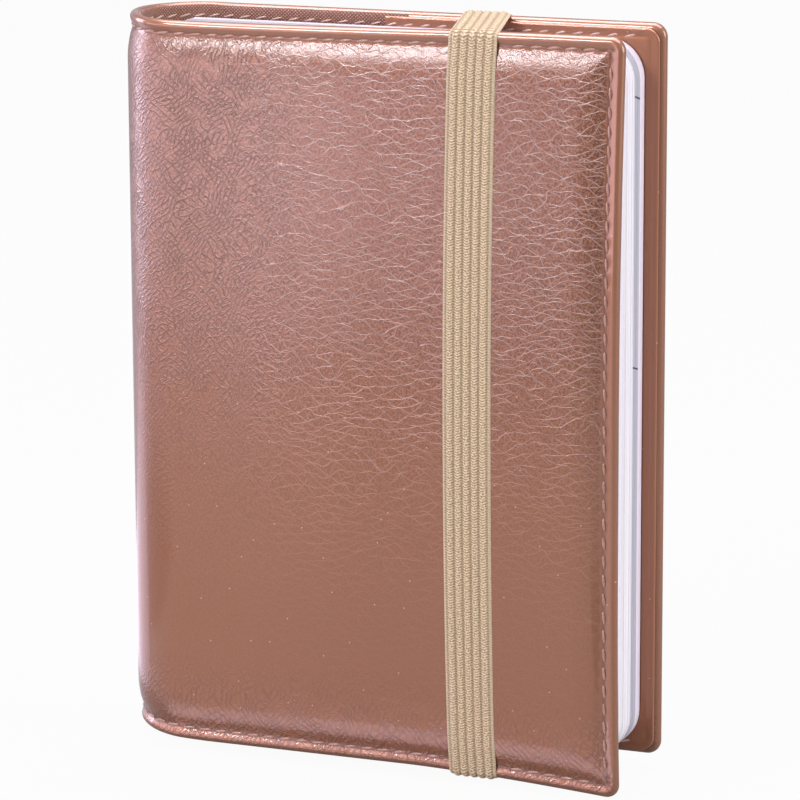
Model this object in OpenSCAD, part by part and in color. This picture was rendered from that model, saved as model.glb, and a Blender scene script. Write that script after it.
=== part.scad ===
// Weekly planner: a soft stitched cover with inner pockets, a sewn page block and an elastic band.
// Upright like a standing book: +Z up, front cover towards -Y, spine at -X, sizes in millimetres.

/* [Pages] */
// Width of a page from the gutter to the fore edge
page_w = 100; // [80:1:140]
// Height of a page
page_h = 149; // [110:0.5:210]
// Radius of the rounded page corners
page_corner_r = 8; // [1:0.5:12]
// Thickness of one sewn section in the front half
front_section_t = 2.45; // [1:0.05:3.2]
// Thickness of one sewn section in the back half
back_section_t = 1.35; // [0.8:0.05:2.4]
// Thickness of the grey address booklet
booklet_t = 3.4; // [1:0.05:4]
// Thickness of the closing section of note pages
end_section_t = 2.35; // [1:0.05:3]
// Thickness of one endpaper
endpaper_t = 0.2; // [0.1:0.05:0.4]
// Thickness of one loose week leaf
leaf_t = 0.12; // [0.08:0.01:0.2]
// Space between neighbouring loose leaves
leaf_space = 0.06; // [0.04:0.01:0.1]
// Radius of the sewing thread in the gutter
thread_r = 0.2; // [0.1:0.05:0.25]
// Thickness of the cloth tape glued on the block's back
tape_t = 0.3; // [0.2:0.05:0.5]

/* [Cover] */
// Thickness of the outer leathercloth
leather_t = 1.0; // [0.6:0.1:1.6]
// Thickness of the stiffening board
board_t = 0.8; // [0.5:0.1:2]
// Thickness of the woven lining
lining_t = 0.3; // [0.2:0.05:0.6]
// Thickness of the pocket flap
flap_t = 0.8; // [0.5:0.1:1.2]
// Width of the pocket flap from its mouth to the fore edge
pocket_w = 61; // [30:1:80]
// Thickness of the card that slides into a pocket
card_t = 0.4; // [0.2:0.05:0.8]
// Free depth of the pocket beside its card
card_clear = 0.1; // [0.05:0.05:0.4]
// Width of the turned-in rim round the cover
rim_w = 4; // [3.6:0.2:7]
// Distance of the flap's edge from the cover's edge
flap_inset = 1; // [0.4:0.1:1.6]
// Radius of the cover's corners at the fore edge
cover_corner_r = 3; // [1.5:0.5:8]
// Angle of the soft spine on each side of its middle
crease_deg = 60; // [45:1:70]
// Cover standing over the pages at the head
head_gap = 3.1; // [0.8:0.1:5]
// Cover standing over the pages at the tail
tail_gap = 1.9; // [0.8:0.1:5]
// Cover standing over the pages at the fore edge
fore_gap = 4.0; // [2:0.1:8]
// How far the soft front cover bows out at mid height
bow_h = 3.2; // [0:0.1:6]
// Width over which the bow rises from the spine
bow_run = 45; // [20:1:60]

/* [Stitching] */
// Distance from one stitch to the next
stitch_pitch = 3.7; // [2.5:0.1:6]
// Length of one stitch on the surface
stitch_len = 2.8; // [1.5:0.1:4]
// Width of the sewing thread on the surface
stitch_w = 0.7; // [0.4:0.05:1]
// Height of a stitch above the leather
stitch_h = 0.25; // [0.1:0.05:0.5]
// Distance of the seam from the cover's edge
seam_in = 2.7; // [2:0.1:3.4]

/* [Elastic band] */
// Width of the elastic band
band_w = 10.4; // [6:0.2:16]
// Thickness of the elastic band
band_t = 0.8; // [0.5:0.1:1.5]
// Distance of the band's middle from the fore edge on the front
band_fore_front = 31.8; // [20:0.2:60]
// Distance of the band's middle from the fore edge on the back
band_fore_back = 39.0; // [20:0.2:60]
// Length of the band's fixed tab on the back
tab_len = 14; // [8:1:30]

/* [Clearances] */
// Space between the block and the pocket flaps
block_clear = 0.4; // [0.3:0.05:1]
// Space between the block's back edge and the lining
gutter_clear = 0.35; // [0.3:0.05:1]
// Space round pieces laid into the cover
fit_gap = 0.15; // [0.05:0.05:0.3]
// Space between the spine and the cover at a crease
crease_gap = 0.04; // [0.02:0.01:0.1]
// Space between the sewing thread and the tapes
thread_clear = 0.1; // [0.05:0.05:0.2]

/* [Hidden] */
$fn = 96;
front_sections = 4;
back_sections = 3;
leaves = 3;
// Half of the leaf stack, where the two halves of the block begin
mid_gap = leaves * leaf_t / 2 + (leaves + 1) / 2 * leaf_space;
front_half = mid_gap + front_sections * front_section_t + endpaper_t;
back_half = mid_gap + back_sections * back_section_t + booklet_t + end_section_t + endpaper_t;
block_half = max(front_half, back_half);
// Depths measured from the outer face of a cover
slot_t = card_t + card_clear;
padding_t = leather_t + board_t;
card_depth = padding_t + lining_t;
rim_t = card_depth + slot_t;
cover_depth = rim_t + flap_t;
half_t = block_half + block_clear + cover_depth;
// Round spine: outer radius half_t, lining face inside
lining_ro = half_t - padding_t;
lining_ri = lining_ro - lining_t;
gutter_in = sqrt(pow(lining_ri, 2) - pow(block_half + gutter_clear, 2));
cover_w = half_t - gutter_in + page_w + fore_gap;
cover_h = page_h + head_gap + tail_gap;
// Places along the three axes, the middle of the width taken over the stitches on the spine
fore_x = (cover_w + stitch_h) / 2;
arc_x = fore_x - cover_w + half_t;
gutter_x = arc_x - gutter_in;
tail_z = band_t;
head_z = tail_z + cover_h;
page_z = tail_z + tail_gap;
inner_fore_x = fore_x - rim_w - fit_gap;
inner_tail_z = tail_z + rim_w + fit_gap;
inner_head_z = head_z - rim_w - fit_gap;
pocket_x = fore_x - pocket_w;
front_band_x = fore_x - band_fore_front;
back_band_x = fore_x - band_fore_back;
crease_step = asin(crease_gap / half_t);
tape_u = thread_r + thread_clear;
section_u = tape_u + tape_t;
leaf_u = section_u - tape_t / 3;
// The bow of the front cover is a net of flat facets between these stations
bow_xs = [for (t = [0, 0.25, 0.5, 0.75, 1]) arc_x + t * bow_run, fore_x + 1];
bow_steps = 12;
bow_zs = [tail_z - 1, for (k = [0 : bow_steps]) tail_z + k * cover_h / bow_steps, head_z + 1];
// The planner stands with the middle of its whole depth over the origin
middle_y = bow_h / 2;
// Seam: stitches are shared out evenly along each straight run
seam_x0 = arc_x;
seam_x1 = fore_x - seam_in - stitch_len;
seam_run_x = seam_x1 - seam_x0;
seam_count_x = floor(seam_run_x / stitch_pitch);
seam_z0 = tail_z + seam_in + stitch_len;
seam_z1 = head_z - seam_in - stitch_len;
seam_run_z = seam_z1 - seam_z0;
seam_count_z = floor(seam_run_z / stitch_pitch);
// Stitches round the spine are counted along its outer arc
arc_pitch_deg = stitch_pitch / half_t * 180 / PI;
spine_span_deg = 2 * crease_deg;
spine_count = floor(spine_span_deg / arc_pitch_deg);
bend_span_deg = 90 - crease_deg;
bend_count = floor(bend_span_deg / arc_pitch_deg);

// Shift every piece to the common origin
module centred() {
  translate([0, middle_y, 0])
    children();
}

// Box between two corners
module block(x0, x1, y0, y1, z0, z1) {
  translate([x0, y0, z0])
    cube([x1 - x0, y1 - y0, z1 - z0]);
}

// Outline of a sheet seen from the front, with its two corners at the fore edge rounded
module fore_outline(x0, x1, z0, z1, r) {
  translate([x0, z0])
    square([x1 - x0 - r, z1 - z0]);
  translate([x0, z0 + r])
    square([x1 - x0, z1 - z0 - 2 * r]);
  for (z = [z0 + r, z1 - r])
    translate([x1 - r, z])
      circle(r);
}

// Rectangle seen from the front
module box_outline(x0, x1, z0, z1) {
  translate([x0, z0])
    square([x1 - x0, z1 - z0]);
}

// Stand an outline upright between two depths
module upright(y0, y1) {
  translate([0, y1, 0])
    rotate([90, 0, 0])
      linear_extrude(y1 - y0)
        children();
}

// Sheet standing upright, with its two corners at the fore edge rounded
module fore_sheet(x0, x1, y0, y1, z0, z1, r) {
  upright(y0, y1)
    fore_outline(x0, x1, z0, z1, r);
}

// Bow of the front cover at a place on it
function rise(t) = t * t * (3 - 2 * t);
function bow(x, z) = bow_h * rise(min(1, (x - arc_x) / bow_run))
  * max(0, 1 - pow((2 * z - tail_z - head_z) / cover_h, 2));

// Slab between two depths that follows the bow of the front cover
module bowed_slab(y0, y1) {
  nx = len(bow_xs);
  nz = len(bow_zs);
  function at(side, i, k) = (side * nx + i) * nz + k;
  points = [for (y = [y0, y1], x = bow_xs, z = bow_zs) [x, y - bow(x, z), z]];
  outer = [for (i = [0 : nx - 2], k = [0 : nz - 2])
    each [[at(0, i, k), at(0, i, k + 1), at(0, i + 1, k + 1)],
      [at(0, i, k), at(0, i + 1, k + 1), at(0, i + 1, k)]]];
  inner = [for (i = [0 : nx - 2], k = [0 : nz - 2])
    each [[at(1, i, k), at(1, i + 1, k + 1), at(1, i, k + 1)],
      [at(1, i, k), at(1, i + 1, k), at(1, i + 1, k + 1)]]];
  ends = [for (i = [0 : nx - 2])
    each [[at(0, i, 0), at(0, i + 1, 0), at(1, i + 1, 0), at(1, i, 0)],
      [at(0, i + 1, nz - 1), at(0, i, nz - 1), at(1, i, nz - 1), at(1, i + 1, nz - 1)]]];
  sides = [for (k = [0 : nz - 2])
    each [[at(0, 0, k + 1), at(0, 0, k), at(1, 0, k), at(1, 0, k + 1)],
      [at(0, nx - 1, k), at(0, nx - 1, k + 1), at(1, nx - 1, k + 1), at(1, nx - 1, k)]]];
  polyhedron(points, concat(outer, inner, ends, sides));
}

// Layer of a cover between two depths: flat, or following the bow
module layer(y0, y1, bows) {
  if (bows)
    intersection() {
      bowed_slab(y0, y1);
      upright(-3 * half_t, 0)
        children();
    }
  else
    upright(y0, y1)
      children();
}

// Part of a ring between two angles
module ring_sector(ro, ri, a0, a1) {
  far = 3 * ro;
  mid = (a0 + a1) / 2;
  intersection() {
    difference() {
      circle(ro);
      circle(ri);
    }
    polygon([[0, 0], far * [cos(a0), sin(a0)], far * [cos(mid), sin(mid)], far * [cos(a1), sin(a1)]]);
  }
}

// Part of the round spine between two angles and two heights
module spine_arc(ro, ri, a0, a1, z0, z1) {
  translate([arc_x, 0, z0])
    linear_extrude(z1 - z0)
      ring_sector(ro, ri, a0, a1);
}

// Leathercloth of a cover: panel with a turned-in rim, running on into the round spine
module panel_skin(bows) {
  difference() {
    union() {
      layer(-half_t, rim_t - half_t, bows)
        fore_outline(arc_x, fore_x, tail_z, head_z, cover_corner_r);
      spine_arc(half_t, lining_ri, 180 + crease_deg, 270, tail_z, head_z);
    }
    layer(leather_t - half_t, cover_depth - half_t, bows)
      box_outline(arc_x, fore_x - rim_w, tail_z + rim_w, head_z - rim_w);
    spine_arc(lining_ro, lining_ri / 2, 180, 271, tail_z + rim_w, head_z - rim_w);
  }
}

// Stiffening board of a cover
module panel_board(bows) {
  layer(leather_t - half_t, padding_t - half_t, bows)
    box_outline(arc_x + fit_gap, inner_fore_x, inner_tail_z, inner_head_z);
}

// Woven lining of a cover, up to the crease
module panel_lining(bows) {
  layer(padding_t - half_t, card_depth - half_t, bows)
    box_outline(arc_x, inner_fore_x, inner_tail_z, inner_head_z);
  spine_arc(lining_ro, lining_ri, 180 + crease_deg, 270, inner_tail_z, inner_head_z);
}

// Stiff card of the page block, tucked into the pocket
module panel_card(bows) {
  layer(card_depth - half_t, card_depth + card_t - half_t, bows)
    box_outline(arc_x + rim_w, inner_fore_x, inner_tail_z, inner_head_z);
}

// Pocket flap of a cover
module panel_pocket(bows) {
  layer(rim_t - half_t, cover_depth - half_t, bows)
    fore_outline(pocket_x, fore_x - flap_inset, tail_z + flap_inset, head_z - flap_inset, cover_corner_r);
}

// One stitch lying along X, seen from the front
module stitch_along_x(x, z) {
  translate([x, z])
    square([stitch_len, stitch_w], center = true);
}

// One stitch standing along Z, seen from the front
module stitch_along_z(x, z) {
  translate([x, z])
    square([stitch_w, stitch_len], center = true);
}

// One stitch on the round spine, at an angle about its middle line
module stitch_on_arc(angle, z) {
  translate([arc_x, 0, z - stitch_w / 2])
    rotate([0, 0, angle])
      translate([half_t, -stitch_len / 2, 0])
        cube([stitch_h, stitch_len, stitch_w]);
}

// Seam on the flat of a cover, left out where the band presses on it
module seam_outline(band_x) {
  band_reach = (band_w + stitch_len) / 2 + fit_gap;
  for (i = [0 : seam_count_x - 1]) {
    x = seam_x0 + (i + 0.5) * seam_run_x / seam_count_x;
    if (abs(x - band_x) > band_reach) {
      stitch_along_x(x, tail_z + seam_in);
      stitch_along_x(x, head_z - seam_in);
    }
  }
  for (i = [0 : seam_count_z - 1])
    stitch_along_z(fore_x - seam_in, seam_z0 + (i + 0.5) * seam_run_z / seam_count_z);
}

// Whole seam round a cover
module panel_stitching(band_x, bows) {
  layer(-half_t - stitch_h, -half_t, bows)
    seam_outline(band_x);
  for (i = [0 : bend_count - 1]) {
    angle = 180 + crease_deg + (i + 0.5) * bend_span_deg / bend_count;
    stitch_on_arc(angle, tail_z + seam_in);
    stitch_on_arc(angle, head_z - seam_in);
  }
}

// Fixed end of the band on the back, with a short leg through a slit in the leathercloth
module head_tab() {
  x0 = back_band_x - band_w / 2;
  x1 = back_band_x + band_w / 2;
  z0 = head_z - tab_len;
  union() {
    block(x0, x1, half_t, half_t + band_t, z0, head_z);
    block(x0, x1, half_t - leather_t, half_t + band_t, z0, z0 + band_t);
  }
}

// Slit in the back leathercloth for the leg of a tab
module head_slit() {
  x0 = back_band_x - band_w / 2 - fit_gap;
  x1 = back_band_x + band_w / 2 + fit_gap;
  z0 = head_z - tab_len - fit_gap;
  block(x0, x1, half_t - leather_t - fit_gap, half_t + fit_gap, z0, z0 + band_t + 2 * fit_gap);
}

// Copy a head piece to the tail
module to_tail() {
  translate([0, 0, tail_z + head_z])
    mirror([0, 0, 1])
      children();
}

// Strap from the back edge to the front edge, slanting a little
module strap(z0) {
  y0 = -half_t - band_t;
  y1 = half_t + band_t;
  h = band_w / 2;
  translate([0, 0, z0])
    linear_extrude(band_t)
      polygon([[front_band_x - h, y0], [front_band_x + h, y0], [back_band_x + h, y1], [back_band_x - h, y1]]);
}

// Pages of one section between two depths
module section(y0, y1) {
  fore_sheet(gutter_x + section_u, gutter_x + page_w, y0, y1, page_z, page_z + page_h, page_corner_r);
}

// Front section by its number, counted from the middle
module front_section(i) {
  y1 = -mid_gap - (i - 1) * front_section_t;
  section(y1 - front_section_t, y1);
}

// Back section by its number, counted from the middle
module back_section(i) {
  y0 = mid_gap + (i - 1) * back_section_t;
  section(y0, y0 + back_section_t);
}

// Loose week leaf by its number, counted from the front
module leaf(i) {
  y0 = -mid_gap + leaf_space + (i - 1) * (leaf_t + leaf_space);
  fore_sheet(gutter_x + leaf_u, gutter_x + page_w, y0, y0 + leaf_t, page_z, page_z + page_h, page_corner_r);
}

booklet_y = mid_gap + back_sections * back_section_t;
end_y = booklet_y + booklet_t;
back_paper_y = end_y + end_section_t;
front_paper_y = -mid_gap - front_sections * front_section_t;

module back_skin() {
  color([0.55, 0.36, 0.30])
    difference() {
      mirror([0, 1, 0])
        panel_skin(false);
      head_slit();
      to_tail()
        head_slit();
    }
}

module back_board() {
  color([0.45, 0.42, 0.38])
    mirror([0, 1, 0])
      panel_board(false);
}

module back_lining() {
  color([0.52, 0.38, 0.33])
    mirror([0, 1, 0])
      panel_lining(false);
}

module back_card() {
  color([0.80, 0.78, 0.74])
    mirror([0, 1, 0])
      panel_card(false);
}

module back_pocket() {
  color([0.60, 0.41, 0.35])
    mirror([0, 1, 0])
      panel_pocket(false);
}

module back_stitching() {
  color([0.72, 0.50, 0.44])
    mirror([0, 1, 0])
      panel_stitching(back_band_x, false);
}

module band_head_tab() {
  color([0.74, 0.62, 0.48])
    head_tab();
}

module band_tail_tab() {
  color([0.74, 0.62, 0.48])
    to_tail()
      head_tab();
}

module spine_skin() {
  color([0.55, 0.36, 0.30])
    difference() {
      spine_arc(half_t, lining_ri, 180 - crease_deg + crease_step, 180 + crease_deg - crease_step,
        tail_z, head_z);
      spine_arc(half_t - leather_t, lining_ri / 2, 90, 270, tail_z + rim_w, head_z - rim_w);
    }
}

module spine_padding() {
  color([0.60, 0.58, 0.55])
    spine_arc(half_t - leather_t, lining_ro, 180 - crease_deg + crease_step,
      180 + crease_deg - crease_step, inner_tail_z, inner_head_z);
}

module spine_lining() {
  color([0.52, 0.38, 0.33])
    spine_arc(lining_ro, lining_ri, 180 - crease_deg + crease_step, 180 + crease_deg - crease_step,
      inner_tail_z, inner_head_z);
}

module spine_stitching() {
  color([0.72, 0.50, 0.44])
    for (i = [0 : spine_count - 1]) {
      angle = 180 - crease_deg + (i + 0.5) * spine_span_deg / spine_count;
      stitch_on_arc(angle, tail_z + seam_in);
      stitch_on_arc(angle, head_z - seam_in);
    }
}

module front_skin() {
  color([0.55, 0.36, 0.30])
    panel_skin(true);
}

module front_board() {
  color([0.45, 0.42, 0.38])
    panel_board(true);
}

module front_lining() {
  color([0.52, 0.38, 0.33])
    panel_lining(true);
}

module front_card() {
  color([0.80, 0.78, 0.74])
    panel_card(true);
}

module front_pocket() {
  color([0.60, 0.41, 0.35])
    panel_pocket(true);
}

module front_stitching() {
  color([0.72, 0.50, 0.44])
    panel_stitching(front_band_x, true);
}

module binding_thread() {
  color([0.92, 0.90, 0.85])
    translate([gutter_x, 0, page_z])
      cylinder(h = page_h, r = thread_r);
}

module front_tape() {
  color([0.85, 0.84, 0.80])
    block(gutter_x + tape_u, gutter_x + section_u, front_paper_y - endpaper_t, -mid_gap,
      page_z, page_z + page_h);
}

module front_endpaper() {
  color([0.90, 0.90, 0.93])
    section(front_paper_y - endpaper_t, front_paper_y);
}

module front_section_1() {
  color([0.97, 0.97, 0.95])
    front_section(1);
}

module front_section_2() {
  color([0.96, 0.96, 0.94])
    front_section(2);
}

module front_section_3() {
  color([0.97, 0.97, 0.95])
    front_section(3);
}

module front_section_4() {
  color([0.96, 0.96, 0.94])
    front_section(4);
}

module back_tape() {
  color([0.85, 0.84, 0.80])
    block(gutter_x + tape_u, gutter_x + section_u, mid_gap, back_paper_y + endpaper_t,
      page_z, page_z + page_h);
}

module back_section_1() {
  color([0.97, 0.97, 0.95])
    back_section(1);
}

module back_section_2() {
  color([0.96, 0.96, 0.94])
    back_section(2);
}

module back_section_3() {
  color([0.97, 0.97, 0.95])
    back_section(3);
}

module address_booklet() {
  color([0.62, 0.63, 0.68])
    section(booklet_y, end_y);
}

module end_section() {
  color([0.88, 0.87, 0.93])
    section(end_y, back_paper_y);
}

module back_endpaper() {
  color([0.90, 0.90, 0.93])
    section(back_paper_y, back_paper_y + endpaper_t);
}

module leaf_1() {
  color([0.98, 0.98, 0.97])
    leaf(1);
}

module leaf_2() {
  color([0.98, 0.98, 0.97])
    leaf(2);
}

module leaf_3() {
  color([0.98, 0.98, 0.97])
    leaf(3);
}

module band_head_strap() {
  color([0.74, 0.62, 0.48])
    strap(head_z);
}

module band_tail_strap() {
  color([0.74, 0.62, 0.48])
    strap(tail_z - band_t);
}

module band_front_span() {
  color([0.74, 0.62, 0.48])
    layer(-half_t - band_t, -half_t, true)
      box_outline(front_band_x - band_w / 2, front_band_x + band_w / 2, tail_z, head_z);
}

centred() back_skin();
centred() back_board();
centred() back_lining();
centred() back_card();
centred() back_pocket();
centred() back_stitching();
centred() band_head_tab();
centred() band_tail_tab();
centred() spine_skin();
centred() spine_padding();
centred() spine_lining();
centred() spine_stitching();
centred() front_skin();
centred() front_board();
centred() front_lining();
centred() front_card();
centred() front_pocket();
centred() front_stitching();
centred() binding_thread();
centred() front_tape();
centred() front_endpaper();
centred() front_section_1();
centred() front_section_2();
centred() front_section_3();
centred() front_section_4();
centred() back_tape();
centred() back_section_1();
centred() back_section_2();
centred() back_section_3();
centred() address_booklet();
centred() end_section();
centred() back_endpaper();
centred() leaf_1();
centred() leaf_2();
centred() leaf_3();
centred() band_head_strap();
centred() band_tail_strap();
centred() band_front_span();
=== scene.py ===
# %% [markdown]
# # A pocket weekly planner in soft stitched leathercloth
# The real thing is a sewn block of pages in a soft cover. The cover is one long strip of metallic
# leathercloth that runs from the front fore edge, round the back of the pages, to the back fore edge. It
# has boards in its two sides, a woven lining, a pocket on each side and a seam all the way round. A ribbed
# elastic band holds it shut. The solids carry the motion, and this lesson gives them their looks.

import math

import bmesh
import bpy
import numpy as np
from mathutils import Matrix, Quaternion, Vector


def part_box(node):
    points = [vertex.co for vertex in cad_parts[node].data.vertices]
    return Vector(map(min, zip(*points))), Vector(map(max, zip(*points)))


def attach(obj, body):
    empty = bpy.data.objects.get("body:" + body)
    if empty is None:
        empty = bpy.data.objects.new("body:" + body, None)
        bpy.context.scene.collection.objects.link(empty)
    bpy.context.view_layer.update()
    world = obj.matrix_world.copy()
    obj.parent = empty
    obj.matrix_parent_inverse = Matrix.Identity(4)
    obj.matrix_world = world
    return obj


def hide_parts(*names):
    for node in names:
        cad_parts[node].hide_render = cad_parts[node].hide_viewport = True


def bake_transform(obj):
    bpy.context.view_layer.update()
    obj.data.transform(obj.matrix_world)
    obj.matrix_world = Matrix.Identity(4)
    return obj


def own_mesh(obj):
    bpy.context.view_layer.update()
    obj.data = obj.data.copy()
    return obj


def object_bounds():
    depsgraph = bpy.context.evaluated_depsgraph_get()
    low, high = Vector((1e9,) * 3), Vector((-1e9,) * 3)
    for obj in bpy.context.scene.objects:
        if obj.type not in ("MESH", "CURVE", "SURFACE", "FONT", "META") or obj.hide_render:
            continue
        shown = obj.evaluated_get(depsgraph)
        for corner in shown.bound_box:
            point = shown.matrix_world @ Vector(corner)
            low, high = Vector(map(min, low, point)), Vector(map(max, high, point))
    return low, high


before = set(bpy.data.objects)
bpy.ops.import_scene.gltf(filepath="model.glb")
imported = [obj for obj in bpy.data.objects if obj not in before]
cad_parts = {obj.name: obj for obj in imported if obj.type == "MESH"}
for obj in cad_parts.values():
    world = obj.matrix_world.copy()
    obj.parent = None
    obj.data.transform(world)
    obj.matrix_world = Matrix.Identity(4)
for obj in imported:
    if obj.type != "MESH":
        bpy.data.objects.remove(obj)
cad_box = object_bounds()
scene = bpy.context.scene
MM = 0.001
print("solids loaded:", len(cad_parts), "box", cad_box)

# %% [markdown]
# The sizes are read from the solids, so that every soft piece sits where its solid sits. The cover's plan
# is a long U: a half circle for the spine and two straight sides. A place along the cover is counted from
# the middle of the spine, once towards the front and once towards the back.

# %% Sizes of the planner
SIDES = ("front", "back")
spine_low, spine_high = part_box("spine_skin")
back_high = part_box("back_skin")[1]
TAIL, HEAD = spine_low.z, spine_high.z
FORE = back_high.x
MID_Y = (spine_low.y + spine_high.y) / 2
HALF = back_high.y - MID_Y
ARC_X = spine_low.x + HALF
COVER_H = HEAD - TAIL
MID_Z = (HEAD + TAIL) / 2
FLAT_W = FORE - ARC_X
ARC_LEN = HALF * math.pi / 2
SIDE_LEN = ARC_LEN + FLAT_W
pocket_low, pocket_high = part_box("back_pocket")
RIM = MID_Y + HALF - pocket_high.y
POCKET_START = ARC_LEN + pocket_low.x - ARC_X
SEAM_IN = 2.7 * MM
SEAM_END = SEAM_IN + 2.8 * MM
CORNER_R = 3.0 * MM
BEAD_FLAT = 1.3 * MM
BEAD_ARC = 1.05 * MM
span_low, span_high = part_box("band_front_span")
BAND_X = (span_low.x + span_high.x) / 2
BAND_W = span_high.x - span_low.x
RIB_STEP = 1.8 * MM
tab_low, tab_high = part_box("band_head_tab")
TAB_X = (tab_low.x + tab_high.x) / 2
print("cover", round(COVER_H / MM, 1), "mm tall, one side", round(SIDE_LEN / MM, 1), "mm long")

# %% [markdown]
# ## Materials
# A colour is written as the sRGB hex value that a paint chart would give. Blender's shaders count in linear
# light, so one function turns the first into the second. Another small function adds a node, sets it up and
# links it, which keeps the node trees short enough to read.

# %% Colours and nodes
def tone(code):
    parts = [int(code[i:i + 2], 16) / 255 for i in (1, 3, 5)]
    return tuple(c / 12.92 if c <= 0.04045 else ((c + 0.055) / 1.055) ** 2.4 for c in parts) + (1.0,)


def feed(node, inputs):
    for key, value in inputs.items():
        if isinstance(value, bpy.types.NodeSocket):
            node.id_data.links.new(value, node.inputs[key])
        else:
            node.inputs[key].default_value = value


def add(tree, kind, inputs=None, **settings):
    node = tree.nodes.new(kind)
    for key, value in settings.items():
        setattr(node, key, value)
    feed(node, inputs or {})
    return node


def empty_tree(owner):
    owner.use_nodes = True
    owner.node_tree.nodes.clear()
    return owner.node_tree


def new_material(name):
    made = bpy.data.materials.new(name)
    tree = empty_tree(made)
    shader = add(tree, "ShaderNodeBsdfPrincipled")
    add(tree, "ShaderNodeOutputMaterial", {"Surface": shader.outputs[0]})
    return made, tree, shader


print("helpers ready, mid brown is", [round(c, 3) for c in tone("#996E5E")[:3]])

# %% [markdown]
# Every material is built from a few plain steps: arithmetic, a soft change between two values, a colour
# laid over another, and a height that tilts the light. A socket knows its own tree as id_data, so the steps
# only need sockets. All patterns count in millimetres.

# %% Steps that every material uses
def calc(operation, *values):
    sockets = [value for value in values if isinstance(value, bpy.types.NodeSocket)]
    inputs = dict(enumerate(values))
    return add(sockets[0].id_data, "ShaderNodeMath", inputs, operation=operation).outputs[0]


def chain(operation, result, *others):
    for other in others:
        result = calc(operation, result, other)
    return result


def times(*values):
    return chain("MULTIPLY", *values)


def most(*values):
    return chain("MAXIMUM", *values)


def vector(operation, one, other):
    return add(one.id_data, "ShaderNodeVectorMath", {0: one, 1: other}, operation=operation).outputs[0]


def split(source):
    return add(source.id_data, "ShaderNodeSeparateXYZ", {0: source}).outputs


def fade(value, start, end, low=0.0, high=1.0, shape="SMOOTHSTEP"):
    inputs = {"Value": value, "From Min": start, "From Max": end, "To Min": low, "To Max": high}
    return add(value.id_data, "ShaderNodeMapRange", inputs, interpolation_type=shape).outputs[0]


def wave(shape, place, step):
    return calc(shape, times(place, 2 * math.pi / step))


def noise(place, scale, detail, roughness=0.5):
    inputs = {"Vector": place, "Scale": scale, "Detail": detail, "Roughness": roughness}
    return add(place.id_data, "ShaderNodeTexNoise", inputs).outputs[0]


def paint(under, share, code):
    inputs = {0: share, 6: under, 7: tone(code)}
    return add(share.id_data, "ShaderNodeMix", inputs, data_type="RGBA").outputs[2]


def raised(height, strength, relief_mm, invert=False):
    inputs = {"Height": height, "Strength": strength, "Distance": relief_mm * MM}
    return add(height.id_data, "ShaderNodeBump", inputs, invert=invert).outputs[0]


def in_millimetres(source):
    return vector("MULTIPLY", source, (1000, 1000, 1000))


def map_in_mm(tree):
    return in_millimetres(add(tree, "ShaderNodeUVMap", uv_map="UVMap").outputs[0])


print("steps ready: fade, wave, noise, paint and raised")

# %% [markdown]
# ### Metallic leathercloth
# The cover is polyurethane leathercloth: a pearly rose-copper film rolled against a grained drum on a woven
# back. The eye sees thin pale creases about 2 mm apart that ripple across the panel and cross each other,
# and short dark furrows by the spine and along the tail. A family of lines is a row of parallels: the
# distance to the nearest one comes from a ping-pong of the place across them. Noise bends the lines and
# breaks them up.

# %% Families of bent lines
BENDS = ((0.11, 5.0), (0.36, 1.7), (1.2, 0.30))  # noise scale, reach in mm
CREASES = ((0.17, 2.0, 0.062), (-0.36, 2.2, 0.056))  # lean in radians, spacing in mm, half width as a share
WEAK_CREASES = ((-0.85, 2.8, 0.042), (0.62, 3.0, 0.042))
FURROWS = ((1.20, 1.05, 0.24), (0.66, 1.15, 0.22), (-0.80, 1.3, 0.20))


def seeded_noise(place, seed, scale, detail):
    inputs = {"Vector": place, "W": seed, "Scale": scale, "Detail": detail}
    return add(place.id_data, "ShaderNodeTexNoise", inputs, noise_dimensions="4D").outputs["Color"]


def bent(flat, seed):
    place = flat
    for scale, reach in BENDS:
        push = vector("ADD", seeded_noise(flat, seed, scale, 0.0), (-0.5, -0.5, -0.5))
        place = vector("ADD", place, vector("MULTIPLY", push, (reach, reach, reach)))
    broken = seeded_noise(flat, seed + 0.5, 0.30, 2.0)
    return place, add(flat.id_data, "ShaderNodeSeparateColor", {0: broken}).outputs


def ripples(place, kept, lean, spacing, thin):
    way = (-math.sin(lean) / spacing, math.cos(lean) / spacing, 0)
    inputs = {0: place, 1: way}
    count = add(place.id_data, "ShaderNodeVectorMath", inputs, operation="DOT_PRODUCT").outputs["Value"]
    gap = calc("PINGPONG", count, 0.5)
    return times(fade(gap, 0.0, thin, 1.0, 0.0), fade(kept, 0.32, 0.56, 0.1, 1.0))


def family(places, breaks, lines):
    return most(*[ripples(at, kept, *line) for at, kept, line in zip(places, breaks, lines)])


print("grain has", len(CREASES) + len(WEAK_CREASES), "families of creases and", len(FURROWS), "of furrows")

# %% [markdown]
# The grain's colour is painted strongest in the upper part, where the light catches it, and so are its
# painted highlights and glints. Furrows lie by the spine and near the tail, and creases towards the fore
# edge. The bead is stretched smooth at head and fore edge. The masks read the piece's own UV map, laid out
# along the cover.

# %% Where the grain changes, in millimetres
PANEL = (2.9, 3.9)  # from the edge
# Where the painted highlight on the bead fades out
BEAD_HIGHLIGHT_PART = (2.0, 2.9)  # from the edge
# Where the painted shade of the seam groove fades out
SEAM_PART = (0.10, 0.70)  # from the seam
UPPER_PART = (26.0, 128.0)  # height
TAIL_PART = (9.0, 24.0)  # height
SPINE_PART = (34.0, 70.0)  # along the cover
OPEN_PART = (24.0, 60.0)  # along the cover


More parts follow.
